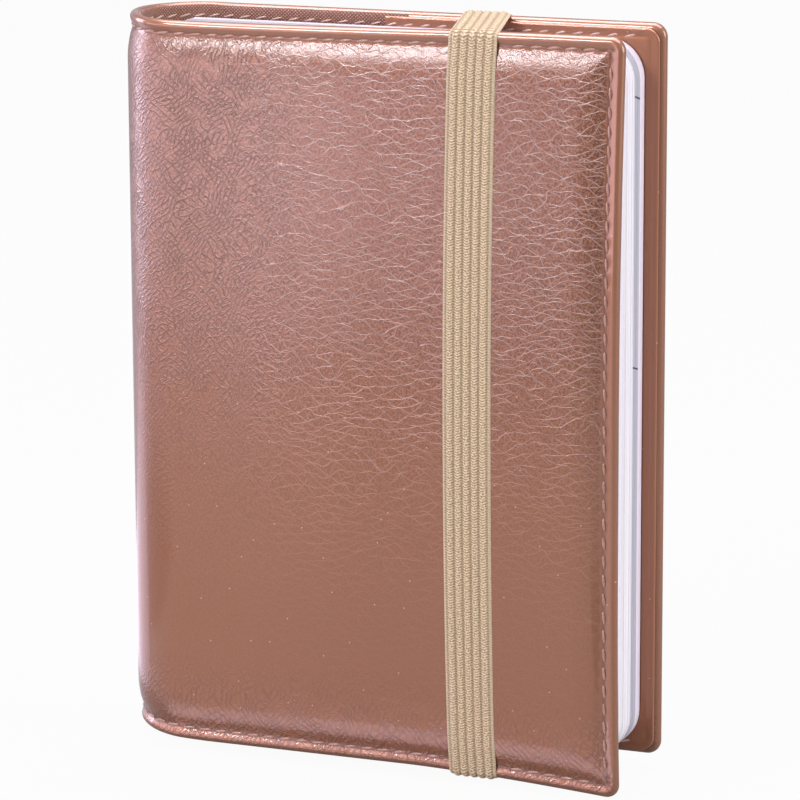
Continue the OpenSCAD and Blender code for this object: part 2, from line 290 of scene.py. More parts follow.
def cover_masks(flat):
    parts = split(flat)
    up = parts[1]
    along = calc("ABSOLUTE", parts[0])
    from_tail = calc("SUBTRACT", up, TAIL / MM)
    from_head = calc("SUBTRACT", HEAD / MM, up)
    from_fore = calc("SUBTRACT", SIDE_LEN / MM, along)
    ring = chain("MINIMUM", from_tail, from_head, from_fore)
    off_seam = calc("ABSOLUTE", calc("SUBTRACT", ring, SEAM_IN / MM))
    upper = times(fade(up, *UPPER_PART, 0.06, 1.0), fade(ring, *PANEL))
    return {
        "upper": upper,
        "by_tail": times(fade(up, *TAIL_PART, 0.7, 0.0), fade(ring, 0.3, 1.0)),
        "by_spine": times(fade(along, *SPINE_PART, 1.0, 0.0), upper),
        "open_side": times(fade(along, *OPEN_PART, 0.12, 1.0), upper),
        "bead_highlight": fade(ring, *BEAD_HIGHLIGHT_PART, 0.10, 0.0),
        "seam": fade(off_seam, *SEAM_PART, 1.0, 0.0),
    }


def grain_lines(flat, masks):
    one, kept_one = bent(flat, 1.0)
    two, kept_two = bent(flat, 2.0)
    strong = family((one, two), (kept_one[0], kept_two[0]), CREASES)
    weak = family((one, two), (kept_one[1], kept_two[1]), WEAK_CREASES)
    creases = most(strong, times(weak, 0.6))
    furrows = family((one, two, one), (kept_two[2], kept_one[2], kept_two[0]), FURROWS)
    by_edge = most(masks["by_spine"], masks["by_tail"])
    return times(creases, masks["open_side"]), times(furrows, by_edge)


print("panel starts", PANEL[0], "mm from the edge")

# %% [markdown]
# The film is part metal, part lacquer. Its colour is laid on in layers: fine dark grain, pale specks that are
# partly grain and partly painted glints, a painted sheen by the spine, the furrows with painted shade in
# their grooves, a painted highlight on the rolled edge, painted shade in the seam groove, painted highlights
# on the pale creases and a few bright flecks of pearl pigment. A clear coat on top follows the relief less
# than the film does.

# %% Leathercloth
def leathercloth(name, base, pale, deep, crease_highlight_show, relief_mm, shine):
    made, tree, shader = new_material(name)
    flat = map_in_mm(tree)
    masks = cover_masks(flat)
    upper = masks["upper"]
    creases, furrows = grain_lines(flat, masks)
    fine = noise(flat, 2.0, 3.0, 0.8)
    pores = times(fine, fade(upper, 0.0, 1.0, 0.2, 1.9))
    height = calc("SUBTRACT", calc("MULTIPLY_ADD", furrows, 1.3, creases), pores)
    speck_glint_show, spine_sheen_show = (1.0, 0.20) if crease_highlight_show else (0.2, 0.0)
    pearl = add(tree, "ShaderNodeTexVoronoi", {"Vector": flat, "Scale": 0.10}, voronoi_dimensions="2D")
    layers = (
        (times(fade(fine, 0.58, 0.38), fade(upper, 0.0, 1.0, 0.15, 1.0)), deep),
        # Pale specks: partly grain, partly painted glints where the light catches the upper panel.
        (times(fade(fine, 0.50, 0.66, 0.0, 0.14), upper, speck_glint_show), "#DDBDB2"),
        # Painted sheen: a paler tone by the spine stands in for a reflection.
        (times(masks["by_spine"], spine_sheen_show), "#C39A88"),
        # Furrows: grain lines darkened as painted shade in their grooves.
        (times(furrows, 0.66), "#553323"),
        # Painted highlight along the rolled edge of the bead.
        (masks["bead_highlight"], "#D2A491"),
        # Painted shade in the seam groove.
        (times(masks["seam"], 0.5), "#4E2E22"),
        # Painted highlights along the pale creases.
        (times(creases, crease_highlight_show, fade(fine, 0.34, 0.60, 1.2, 0.2)), pale),
        (fade(pearl.outputs["Distance"], 0.006, 0.018, 0.5, 0.0), "#F3DCD2"),
    )
    colour = tone(base)
    for share, code in layers:
        colour = paint(colour, share, code)
    feed(shader, {
        "Base Color": colour,
        "Roughness": fade(fine, 0.3, 0.7, shine - 0.05, shine + 0.06),
        "Normal": raised(height, 1.0, relief_mm, invert=True),
        "Metallic": 0.35,
        "IOR": 1.5,
        "Specular Tint": tone("#FFE2F2"),
        "Coat Weight": 1.0,
        "Coat Roughness": 0.11,
        "Coat IOR": 1.5,
        "Coat Normal": raised(height, 1.0, 0.36 * relief_mm, invert=True),
        "Sheen Weight": 0.06,
        "Sheen Roughness": 0.22,
        "Sheen Tint": tone("#E4D2F4"),
    })
    return made


# The pale colour is the painted highlight on the creases.
COVER_LEATHER = leathercloth("leathercloth, pearl rose-copper film, drum grained", "#88542F", "#F8E6DF",
                             "#4E2612", crease_highlight_show=0.60, relief_mm=0.075, shine=0.40)
POCKET_LEATHER = leathercloth("leathercloth, pearl rose-copper film, smooth side", "#985E36", "#C9A094",
                              "#885230", crease_highlight_show=0.0, relief_mm=0.03, shine=0.42)
print("made", COVER_LEATHER.name, "and", POCKET_LEATHER.name)

# %% [markdown]
# ### Woven lining and elastic
# The lining is a ribbed twill: rust-brown yarn with a paler crossing yarn, so it shows rows of light dots.
# The elastic is knitted round rubber cores, which stand up as ribs and take a fine zigzag of yarn. Threads
# of about 0.4 mm are near the limit of what the render shows, so both weaves are drawn a little coarser
# than real.

# %% Cloth finishes
def woven_lining(name, base, pale, deep, rib_mm, row_mm):
    made, tree, shader = new_material(name)
    flat = map_in_mm(tree)
    parts = split(flat)
    knot = times(wave("SINE", parts[0], rib_mm), wave("SINE", parts[1], row_mm))
    worn = noise(flat, 1.1, 2.0)
    dots = times(fade(knot, 0.05, 0.75), worn)
    feed(shader, {
        "Base Color": paint(paint(tone(deep), worn, base), dots, pale),
        "Normal": raised(knot, 0.8, 0.08),
        "Roughness": fade(worn, 0.3, 0.7, 0.66, 0.84),
        "Sheen Weight": 0.2,
    })
    return made


def ribbed_elastic(name, row_mm):
    made, tree, shader = new_material(name)
    flat = map_in_mm(tree)
    parts = split(flat)
    rib = wave("COSINE", parts[0], RIB_STEP / MM)
    zigzag = times(rib, 1.6)
    yarn = calc("SINE", calc("MULTIPLY_ADD", parts[1], 2 * math.pi / row_mm, zigzag))
    fuzzy = calc("MULTIPLY_ADD", yarn, 0.16, noise(flat, 2.8, 1.0))
    # Painted shade darkens the valleys between the ribs.
    valley_shade = fade(rib, -1.0, -0.2, 0.6, 0.0)
    selvedge = fade(calc("ABSOLUTE", parts[0]), 4.5, 4.8, 0.0, 0.6)
    colour = paint(tone("#AC8C6B"), fade(fuzzy, 0.30, 0.68), "#F6E0BA")
    colour = paint(colour, valley_shade, "#8E7353")
    feed(shader, {
        "Base Color": paint(colour, selvedge, "#DCC8A8"),
        "Normal": raised(yarn, 0.7, 0.06),
        "Roughness": fade(fuzzy, 0.0, 1.0, 0.78, 0.62),
        "Sheen Weight": 0.25,
        "Sheen Tint": tone("#F0E2C8"),
    })
    return made


LINING_CLOTH = woven_lining("polyester twill, woven, rust brown", "#95604C", "#E6C6B8", "#74412E", 0.8, 0.72)
ELASTIC = ribbed_elastic("rubber-core elastic, knitted, sand", 0.55)
print("made", LINING_CLOTH.name, "and", ELASTIC.name)

# %% [markdown]
# ### Thread, board and card
# These are plain fibres in two close tones. They differ in the size of the flecks, the roughness and the
# relief, so one function makes them all.

# %% Fibre finishes
def plain_fibre(name, base, deep, fleck_mm, rough, relief_mm, sheen=0.0):
    made, tree, shader = new_material(name)
    place = in_millimetres(add(tree, "ShaderNodeTexCoord").outputs["Object"])
    fibres = noise(place, 1 / fleck_mm, 4.0, 0.6)
    feed(shader, {
        "Base Color": paint(tone(base), fade(fibres, 0.35, 0.7, shape="LINEAR"), deep),
        "Normal": raised(fibres, 0.6, relief_mm),
        "Roughness": fade(fibres, 0.3, 0.7, rough - 0.06, rough + 0.06),
        "Sheen Weight": sheen,
    })
    return made


THREAD = plain_fibre("polyester sewing thread, twisted, rose", "#C79E90", "#9C6C5A", 0.35, 0.30, 0.05, 0.2)
PALE_THREAD = plain_fibre("polyester sewing thread, twisted, pale rose", "#E6C7BA", "#C9A293",
                          0.35, 0.34, 0.05, 0.2)
BOBBIN = plain_fibre("polyester bobbin thread, brown", "#8E5D47", "#784A37", 0.35, 0.45, 0.04, 0.1)
GREY_BOARD = plain_fibre("grey board, pressed", "#8B857B", "#6F6A62", 1.2, 0.9, 0.05)
BLOCK_CARD = plain_fibre("manila card, calendered", "#DDD6C8", "#CFC6B4", 2.0, 0.7, 0.02)
LINEN = plain_fibre("linen thread, waxed", "#E9E2D2", "#D3C9B4", 0.4, 0.6, 0.04)
GAUZE = plain_fibre("book gauze, starched", "#DAD6CB", "#BDB8AB", 0.6, 0.9, 0.06)
print("made thread, board, card, linen and gauze")

# %% [markdown]
# ### Printed pages
# Paper shows two sides. Its faces carry a pale printed grid of days and hours, and its edges show the
# single sheets as fine lines. Sections lie flat in the frame, so they read Object coordinates, and the
# normal tells a face from an edge. A loose leaf bends, so it reads its own UV map and counts as face all
# over.

# %% Paper
PRINT_TOP, PRINT_FOOT, PRINT_SIDE = 138.0, 26.0, 46.0  # limits of the printed area in mm
HOUR_STEP, DAY_STEP = 3.0, 15.5  # half the distance between two rules in mm
TICK_SLOPE, TICK_HALF = 0.27, 0.2  # fall per mm of depth, half the mark's height in mm


def rule(place, step, width, shift):
    cycle = calc("PINGPONG", calc("ADD", place, shift), step)
    return calc("LESS_THAN", cycle, width / 2)


def page_rules(parts):
    hours = rule(parts[2], HOUR_STEP, 0.22, 0.0)
    days = rule(parts[0], DAY_STEP, 0.35, 200.0)
    below_top = calc("LESS_THAN", parts[2], PRINT_TOP)
    above_foot = calc("GREATER_THAN", parts[2], PRINT_FOOT)
    in_margin = calc("LESS_THAN", parts[0], PRINT_SIDE)
    return times(most(hours, days), below_top, above_foot, in_margin)


def paper(name, base, edge_dark, ruled=False, tick_heights=(), own_map=False):
    made, tree, shader = new_material(name)
    coords = add(tree, "ShaderNodeTexCoord").outputs
    place = in_millimetres(coords["Object"])
    on_face = calc("GREATER_THAN", calc("ABSOLUTE", split(coords["Normal"])[1]), 0.7)
    on_edge = calc("SUBTRACT", 1.0, on_face)
    if own_map:
        sheet = split(map_in_mm(tree))
        place = add(tree, "ShaderNodeCombineXYZ", {0: sheet[0], 2: sheet[1]}).outputs[0]
        on_face, on_edge = 1.0, 0.0
    parts = split(place)
    sheets = noise(vector("MULTIPLY", place, (0.02, 3.2, 0.004)), 1.0, 3.0, 0.7)
    stripe = times(fade(sheets, 0.42, 0.66, shape="LINEAR"), on_edge)
    colour = paint(tone(base), stripe, edge_dark)
    if ruled:
        colour = paint(colour, times(page_rules(parts), on_face), "#B9B6C6")
    for height in tick_heights:
        level = calc("MULTIPLY_ADD", parts[1], TICK_SLOPE, parts[2])
        off = calc("ABSOLUTE", calc("SUBTRACT", level, height))
        mark = times(calc("LESS_THAN", off, TICK_HALF), on_edge)
        colour = paint(colour, mark, "#1E1A22")
    feed(shader, {
        "Base Color": colour,
        "Normal": raised(sheets, 0.35, 0.05),
        "Roughness": fade(sheets, 0.3, 0.7, 0.74, 0.86),
    })
    return made


WEEK_PAPER = paper("offset paper, printed week pages", "#F8F6F9", "#DAD3E2", ruled=True)
LEAF_PAPER = paper("offset paper, printed week leaf", "#F8F6F9", "#DAD3E2", ruled=True, own_map=True)
NOTE_PAPER = paper("offset paper, plain note pages", "#F4ECF6", "#E4D8EC")
# The booklet's grey stands in for the shade on its recessed fore edge; its black ticks are print.
INDEX_PAPER = paper("offset paper, index ticks, grey as painted shade", "#C9C8D2", "#A9A9B8", tick_heights=(142.3, 86.5))
END_PAPER = paper("endpaper, coloured offset", "#E9E8F0", "#D8D6E4")
print("made five papers")

# %% [markdown]
# ## The cover's shape
# The leathercloth is a thin shell: an outer face, an inner face and a rounded bead where the two meet at
# the head, tail and fore edge. Each point has a place along the cover, a height and a depth under the outer
# face. The front cover bows out, because the pages push it. Its lower fore corner hangs and stands out a
# little, its head edge dips towards the spine, and the spine's tail end is drawn up.

# %% Where a point of the cover lies
BOW, BOW_REACH = 3.2 * MM, 45 * MM
FLARE, SAG = 1.1 * MM, 2.0 * MM
CORNER_X, CORNER_REACH = 10 * MM, 75 * MM
TUCK, TUCK_REACH = 1.6 * MM, 24 * MM
DROP, RAISE, HEAD_REACH = 0.65 * MM, 0.25 * MM, 25 * MM


def ease(t):
    t = np.clip(t, 0, 1)
    return t * t * (3 - 2 * t)


def columns(*values):
    return np.stack(np.broadcast_arrays(*values), -1)


def bowed(points):
    x, y, z = points[..., 0], points[..., 1], points[..., 2]
    across = ease((x - ARC_X) / BOW_REACH)
    upright = np.clip(1 - ((z - MID_Z) / (COVER_H / 2)) ** 2, 0, 1)
    corner = np.clip((x - CORNER_X) / (FORE - CORNER_X), 0, 1) ** 1.5
    corner = corner * ease((TAIL + CORNER_REACH - z) / CORNER_REACH)
    return columns(x, y - BOW * across * upright - FLARE * corner, z - SAG * corner)


def along_cover(s, z, depth, word):
    radius = HALF - depth
    angle = np.pi + np.minimum(s, ARC_LEN) / HALF
    x = ARC_X + radius * np.cos(angle) + np.maximum(s - ARC_LEN, 0)
    y = radius * np.sin(angle)
    z = z + TUCK * ease(1 - s / (1.3 * ARC_LEN)) * ease((TAIL + TUCK_REACH - z) / TUCK_REACH)
    if word == "back":
        return columns(x, MID_Y - y, z)
    drop = DROP * ease(s / ARC_LEN) * ease((25 * MM - x) / (60 * MM))
    drop = drop - RAISE * ease((x - 5 * MM) / (40 * MM))
    z = z - drop * ease((z - HEAD + HEAD_REACH) / HEAD_REACH)
    return bowed(columns(x, MID_Y + y, z))


print("bow", BOW / MM, "mm at mid height")

# %% [markdown]
# The grid lines of the shell are close together where the bead and the groove are, and four to a stitch
# elsewhere. At the two fore corners the square grid is bent round a small radius, ring by ring, so the bead
# runs round the corner without a crack.

# %% Grid lines and rounded corners
BEAD_TURN = np.radians(np.arange(0, 91, 15))
FLAT_STITCHES, FORE_STITCHES, ARC_STITCHES = 25, 38, 6
LEAST_R = 0.35 * MM


def edge_lines(bead, beyond_mm):
    return np.concatenate([bead * (1 - np.cos(BEAD_TURN)), np.array(beyond_mm) * MM])


def lines_between(low, high, edge, count):
    middle = np.linspace(low + edge[-1], high - edge[-1], count)[1:-1]
    return np.concatenate([low + edge, middle, high - edge[::-1]])


EDGE = edge_lines(BEAD_FLAT, [1.6, 1.9, 2.15, 2.4, 2.6, 2.8, 3.0, 3.25, 3.55, 3.9, 4.3, 4.8, 5.5])
on_arc = np.linspace(0, ARC_LEN, ARC_STITCHES * 4 + 1)
on_flat = ARC_LEN + np.linspace(0, FLAT_W - SEAM_END, FLAT_STITCHES * 4 + 1)[1:]
S_LINES = np.concatenate([on_arc, on_flat, (SIDE_LEN - EDGE[::-1])[1:]])
Z_LINES = lines_between(TAIL, HEAD, EDGE, FORE_STITCHES * 4 + 1)


def round_corners(s, z, s_end, low, high):
    a = s_end - s
    from_tail = z - low
    from_head = high - z
    b = np.minimum(from_tail, from_head)
    ring = np.minimum(a, b)
    rest = np.maximum(a, b) - ring
    r = np.maximum(CORNER_R - ring, LEAST_R)
    turn = np.radians(45) * (1 - rest / r)
    near = ring + r - r * np.cos(turn)
    far = ring + r - r * np.sin(turn)
    in_corner = rest < r
    new_a = np.where(in_corner, np.where(a <= b, near, far), a)
    new_b = np.where(in_corner, np.where(a <= b, far, near), b)
    new_z = np.where(from_tail <= from_head, low + new_b, high - new_b)
    return s_end - new_a, new_z, ring


print("grid", len(S_LINES), "by", len(Z_LINES))

# %% [markdown]
# Three things shape the outer face: the round bead at the edge, the groove that the seam pulls in, with a
# slight pucker beside each stitch, and the soft swell of the panel beyond it. The inner face turns in under
# the bead and then steps back to the thickness of the cloth.

# %% Depth of the outer and inner face by distance from the edge
GROOVE, PUCKER, SWELL = 0.60 * MM, 0.14 * MM, 0.60 * MM
CLOTH_ARC, CLOTH_FLAT = 1.8 * MM, 1.02 * MM


def hump(distance, width):
    return np.exp(-(distance / width) ** 2)


def bead_radius(s):
    return BEAD_ARC + (BEAD_FLAT - BEAD_ARC) * ease((s - ARC_LEN + 3 * MM) / (8 * MM))


def bead_drop(ring, bead):
    inside = np.clip(bead - ring, 0, bead)
    return bead - np.sqrt(np.maximum(bead ** 2 - inside ** 2, 0))


def stitch_pull(s, z):
    beside_fore = (SIDE_LEN - s) < np.minimum(z - TAIL, HEAD - z)
    on_spine = s / ARC_LEN * ARC_STITCHES
    on_side = (s - ARC_LEN) / (FLAT_W - SEAM_END) * FLAT_STITCHES
    up_fore = (z - TAIL - SEAM_END) / (COVER_H - 2 * SEAM_END) * FORE_STITCHES
    phase = np.where(beside_fore, up_fore, np.where(s < ARC_LEN, on_spine, on_side))
    return 0.5 - 0.5 * np.cos(2 * np.pi * phase)


def outer_depth(s, z, ring):
    pull = stitch_pull(s, z)
    width = np.where(ring < SEAM_IN, 0.95 * MM, 1.9 * MM)
    groove = GROOVE * hump(ring - SEAM_IN, width) * (0.8 + 0.2 * pull)
    pucker = PUCKER * hump(ring - 4.0 * MM, 0.9 * MM) * (0.5 - pull)
    swell = SWELL * ease((ring - SEAM_IN) / (7.0 * MM))
    return bead_drop(ring, bead_radius(s)) + groove + pucker - swell


def inner_depth(s, ring):
    bead = bead_radius(s)
    core = CLOTH_ARC - (CLOTH_ARC - CLOTH_FLAT) * ease((s - ARC_LEN + 1 * MM) / (2 * MM))
    turned_in = 2 * bead - bead_drop(ring, bead)
    return turned_in + (core - 2 * bead) * ease((ring - 3.5 * MM) / (0.7 * MM))


print("edge is", 2 * BEAD_FLAT / MM, "mm thick at the fore edge")

# %% [markdown]
# One function turns two faces on the same grid into a closed shell. It also writes the UV map in metres, so
# the grain, weave and ribs keep their real size on every piece. A second one merges double points, turns
# the faces outward and keeps edges sharper than 50 degrees crisp.

# %% Build a closed shell from two faces
def into_scene(name, data):
    made = bpy.data.objects.new(name, data)
    scene.collection.objects.link(made)
    return made


def outward(piece):
    work = bmesh.new()
    work.from_mesh(piece.data)
    bmesh.ops.remove_doubles(work, verts=work.verts, dist=1e-7)
    bmesh.ops.recalc_face_normals(work, faces=work.faces)
    work.to_mesh(piece.data)
    work.free()
    piece.data.set_sharp_from_angle(angle=math.radians(50))
    piece.data.update()
    return piece


def closed_shell(name, top, bottom, uv, material):
    rows, cols = top.shape[:2]
    count = rows * cols
    index = np.arange(count).reshape(rows, cols)
    quads = np.stack([index[:-1, :-1], index[1:, :-1], index[1:, 1:], index[:-1, 1:]], -1).reshape(-1, 4)
    under = quads[:, ::-1] + count
    rim = np.concatenate([index[0, :], index[1:, -1], index[-1, -2::-1], index[-2:0:-1, 0]])
    after = np.roll(rim, -1)
    walls = np.stack([rim, after, after + count, rim + count], -1)
    faces = np.concatenate([quads, under, walls])
    points = np.concatenate([top.reshape(-1, 3), bottom.reshape(-1, 3)])
    mesh = bpy.data.meshes.new(name)
    mesh.from_pydata(points.tolist(), [], faces.tolist())
    layer = mesh.uv_layers.new(name="UVMap")
    both = np.concatenate([uv.reshape(-1, 2)] * 2)
    layer.data.foreach_set("uv", both[faces.reshape(-1)].astype(np.float32).reshape(-1))
    mesh.polygons.foreach_set("use_smooth", np.ones(len(faces), bool))
    mesh.materials.append(material)
    mesh.update()
    return outward(into_scene(name, mesh))


print("shell builder ready")

# %% [markdown]
# ### Outer leathercloth
# The leathercloth is cut at the spine's middle into a front and a back piece.

# %% Front and back leathercloth
SIGN = {"front": 1, "back": -1}


def bend_with(piece):
    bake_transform(piece)


def leather_side(word):
    s, z = np.meshgrid(S_LINES, Z_LINES, indexing="ij")
    s_round, z_round, ring = round_corners(s, z, SIDE_LEN, TAIL, HEAD)
    top = along_cover(s_round, z_round, outer_depth(s, z, ring), word)
    bottom = along_cover(s_round, z_round, inner_depth(s, ring), word)
    return closed_shell(word + "_leather", top, bottom, columns(SIGN[word] * s_round, z_round), COVER_LEATHER)


for word in SIDES:
    piece = leather_side(word)
    bend_with(piece)
    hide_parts(word + "_skin", "spine_skin", "spine_padding")
    print(piece.name, len(piece.data.polygons), "faces")

# %% [markdown]
# ### Woven lining
# The lining runs up to the head and tail edges, over the turned-in leathercloth, and is caught by the same
# seam. Towards the fore edge it goes 5 mm under the pocket.

# %% Lining
LINING_REACH = POCKET_START + 5 * MM
LINING_EDGE = np.array([0.5, 0.75, 1.0, 1.3, 1.8, 2.4, 2.7, 3.0, 3.4, 3.7, 4.0, 4.3, 5.0]) * MM
LINING_DEPTH, LINING_GAP, LINING_TOP = 1.82 * MM, 0.03 * MM, 0.26 * MM


def lining_side(word):
    on_side = np.linspace(ARC_LEN, LINING_REACH, 24)[1:]
    s_lines = np.concatenate([np.linspace(0, ARC_LEN, 25), on_side])
    s, z = np.meshgrid(s_lines, lines_between(TAIL, HEAD, LINING_EDGE, 40), indexing="ij")
    ring = np.minimum(z - TAIL, HEAD - z)
    resting = np.maximum(inner_depth(s, ring), np.where(ring > 3.9 * MM, LINING_DEPTH, 0))
    sewn = 0.10 * MM * hump(ring - SEAM_IN, 0.8 * MM)
    inside = along_cover(s, z, resting + LINING_TOP - sewn, word)
    outside = along_cover(s, z, resting + LINING_GAP, word)
    return closed_shell(word + "_lining_cloth", inside, outside, columns(SIGN[word] * s, z), LINING_CLOTH)


for word in SIDES:
    piece = lining_side(word)
    bend_with(piece)
    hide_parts(word + "_lining", "spine_lining")

# %% [markdown]
# ### Pocket flaps
# A pocket is a second layer of leathercloth, sewn in with the edge seam on three sides. Its mouth is a
# folded edge with its own row of stitches, and its border turns up in a narrow bead beside the cover's
# bead.

# %% Pockets
POCKET_IN = 1.0 * MM
POCKET_END = SIDE_LEN - POCKET_IN
POCKET_BEAD = 0.4 * MM
POCKET_EDGE = edge_lines(POCKET_BEAD, [0.7, 1.0, 1.3, 1.55, 1.7, 1.9, 2.2, 2.6, 3.2, 4.5])
POCKET_MAP = {"front": 0.8, "back": 1.2}


def pocket_side(word):
    low, high = TAIL + POCKET_IN, HEAD - POCKET_IN
    s_lines = lines_between(POCKET_START, POCKET_END, POCKET_EDGE, 40)
    s, z = np.meshgrid(s_lines, lines_between(low, high, POCKET_EDGE, 90), indexing="ij")
    s_round, z_round, ring = round_corners(s, z, POCKET_END, low, high)
    mouth = s - POCKET_START
    drop = bead_drop(np.minimum(ring, mouth), POCKET_BEAD)
    edge_groove = 0.12 * MM * hump(ring - 1.7 * MM, 0.55 * MM)
    groove = np.maximum(edge_groove, 0.18 * MM * hump(mouth - 2.0 * MM, 0.5 * MM))
    inside = along_cover(s_round, z_round, RIM + 0.80 * MM - drop - groove, word)
    outside = along_cover(s_round, z_round, RIM + 0.02 * MM + drop, word)
    uv = columns(s_round + POCKET_MAP[word], z_round)
    return closed_shell(word + "_pocket_leather", inside, outside, uv, POCKET_LEATHER)


for word in SIDES:
    piece = pocket_side(word)
    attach(piece, word + "_cover")
    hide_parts(word + "_pocket")
    print(piece.name, len(piece.data.polygons), "faces")

# %% [markdown]
# ### Boards and cards inside the cover
# The board and the block's card hide between the leathercloth and the pocket. On the front they follow the
# bow of the cover. They are thin plates on a coarse grid.

# %% Boards and cards
def plate_in_cover(word, kind, material, name):
    low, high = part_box("back_" + kind)
    x, z = np.meshgrid(np.linspace(low.x, high.x, 24), np.linspace(low.z, high.z, 30), indexing="ij")
    faces = [columns(x, y, z) for y in (low.y, high.y)]
    if word == "front":
        faces = [bowed(columns(x, 2 * MID_Y - y, z)) for y in (low.y, high.y)]
    piece = closed_shell(word + name, *faces, columns(x, z), material)
    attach(piece, word + "_cover")
    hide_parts(word + "_" + kind)


for word in SIDES:
    plate_in_cover(word, "board", GREY_BOARD, "_stiffener")
    plate_in_cover(word, "card", BLOCK_CARD, "_block_card")
print("two boards and two cards laid in")

# %% [markdown]
# ## Stitches with Geometry Nodes
# A stitch is a short fat thread that dips at both ends. There are hundreds of them, so one is made once and
# set on points. Each point carries two directions: along the seam and out of the surface. The node tree
# turns every stitch to them. Its inputs have names, so a stitch can be made longer or thicker from outside.

# %% Tree that sets stitches on points
def new_tree(name, output, inputs):
    tree = bpy.data.node_groups.new(name, "GeometryNodeTree")
    for title, kind in inputs.items():
        tree.interface.new_socket(title, in_out="INPUT", socket_type="NodeSocket" + kind)
    tree.interface.new_socket(output, in_out="OUTPUT", socket_type="NodeSocketGeometry")
    return tree, add(tree, "NodeGroupInput").outputs


def named_way(tree, name):
    kept = add(tree, "GeometryNodeInputNamedAttribute", {"Name": name}, data_type="FLOAT_VECTOR")
    return kept.outputs["Attribute"]


def sewing_tree():
    tree, given = new_tree("Sewn stitches", "Stitches", {
        "Seam points": "Geometry", "Length": "Float", "Width": "Float", "Rise": "Float",
        "Thread": "Material"})
    ball = add(tree, "GeometryNodeMeshUVSphere", {"Segments": 8, "Rings": 6, "Radius": 0.5})
    size = add(tree, "ShaderNodeCombineXYZ", {0: given["Length"], 1: given["Width"], 2: given["Rise"]})
    shape = {"Geometry": ball.outputs["Mesh"], "Scale": size.outputs[0]}
    stitch = add(tree, "GeometryNodeTransform", shape)
    upright = {"Vector": named_way(tree, "out_way")}
    turned = add(tree, "FunctionNodeAlignRotationToVector", upright, axis="Z")
    level = {"Rotation": turned.outputs[0], "Vector": named_way(tree, "seam_way")}
    turned = add(tree, "FunctionNodeAlignRotationToVector", level, axis="X", pivot_axis="Z")
    sewn = {"Points": given["Seam points"], "Instance": stitch.outputs[0], "Rotation": turned.outputs[0]}
    put = add(tree, "GeometryNodeInstanceOnPoints", sewn)
    real = add(tree, "GeometryNodeRealizeInstances", {0: put.outputs[0]})
    smooth = add(tree, "GeometryNodeSetShadeSmooth", {0: real.outputs[0]})
    finish = {"Geometry": smooth.outputs[0], "Material": given["Thread"]}
    add(tree, "NodeGroupOutput", {0: add(tree, "GeometryNodeSetMaterial", finish).outputs[0]})
    return tree


def run_tree(source, tree, values):
    modifier = source.modifiers.new("nodes", "NODES")
    modifier.node_group = tree
    for item in tree.interface.items_tree:
        if item.in_out == "INPUT" and item.name in values:
            modifier[item.identifier] = values[item.name]
    graph = bpy.context.evaluated_depsgraph_get()
    mesh = bpy.data.meshes.new_from_object(source.evaluated_get(graph))
    source.modifiers.remove(modifier)
    old = source.data
    source.data = mesh
    bpy.data.meshes.remove(old)
    mesh.name = source.name
    return source


SEWING = sewing_tree()
print("stitch tree has", len(SEWING.nodes), "nodes")

# %% [markdown]
# The points come from the same surface function as the leathercloth, so a stitch sits in the groove that it
# pulls. The ways along and out are measured by stepping a tenth of a millimetre on that surface. A slight
# slant is what a lockstitch machine leaves.

# %% Points of the seams
STEP = 0.1 * MM


def seam_spots():
    on_arc = (np.arange(ARC_STITCHES) + 0.5) * ARC_LEN / ARC_STITCHES
    on_flat = ARC_LEN + (np.arange(FLAT_STITCHES) + 0.5) * (FLAT_W - SEAM_END) / FLAT_STITCHES
    up_fore = (np.arange(FORE_STITCHES) + 0.5) * (COVER_H - 2 * SEAM_END) / FORE_STITCHES
    run = np.concatenate([on_arc, on_flat])
    rows = [columns(run, z, 1.0, 0.0) for z in (HEAD - SEAM_IN, TAIL + SEAM_IN)]
    return np.concatenate([*rows, columns(SIDE_LEN - SEAM_IN, TAIL + SEAM_END + up_fore, 0.0, 1.0)])


def unit(ways):
    return ways / np.linalg.norm(ways, axis=1)[:, None]


def stitch_points(name, spots, surface, slant):
    s, z, ds, dz = spots.T
    here = surface(s, z)
    way = unit(surface(s + STEP * ds, z + STEP * dz) - here)
    over = unit(surface(s - STEP * dz, z + STEP * ds) - here)
    out = unit(np.cross(way, over))
    way = way + math.tan(math.radians(slant)) * over
    mesh = bpy.data.meshes.new(name)
    mesh.from_pydata(here.tolist(), [], [])
    for title, value in (("seam_way", way), ("out_way", out)):
        layer = mesh.attributes.new(title, "FLOAT_VECTOR", "POINT")
        layer.data.foreach_set("vector", value.astype(np.float32).reshape(-1))
    return into_scene(name, mesh)


print("seam has", len(seam_spots()), "stitches on each side")

# %% [markdown]
# Each side has an outer seam in the groove, pale stitches on the lining and on the pocket's head and tail,
# and flat brown bobbin stitches at the pocket's fore edge and mouth. No outer stitch is set under the
# elastic.

# %% Outer and inner seams
def ring_at(s, z):
    return np.minimum(np.minimum(z - TAIL, HEAD - z), SIDE_LEN - s)


def in_groove(s, z):
    return outer_depth(s, z, ring_at(s, z)) - 0.05 * MM


def on_lining(s, z):
    return inner_depth(s, ring_at(s, z)) + 0.20 * MM


def on_pocket(s, z):
    return np.full_like(s, RIM + 0.62 * MM)


def clear_of_band(spots, x_middle):
    x = ARC_X + spots[:, 0] - ARC_LEN
    under = (np.abs(x - x_middle) < BAND_W / 2 + 1.2 * MM) & (spots[:, 2] > 0)
    return spots[~under]


def sew(name, word, spots, depth, slant, size_mm, thread):
    piece = stitch_points(word + name, spots, lambda s, z: along_cover(s, z, depth(s, z), word), slant)
    length, width, rise = [value * MM for value in size_mm]
    return run_tree(piece, SEWING, {"Length": length, "Width": width, "Rise": rise, "Thread": thread})


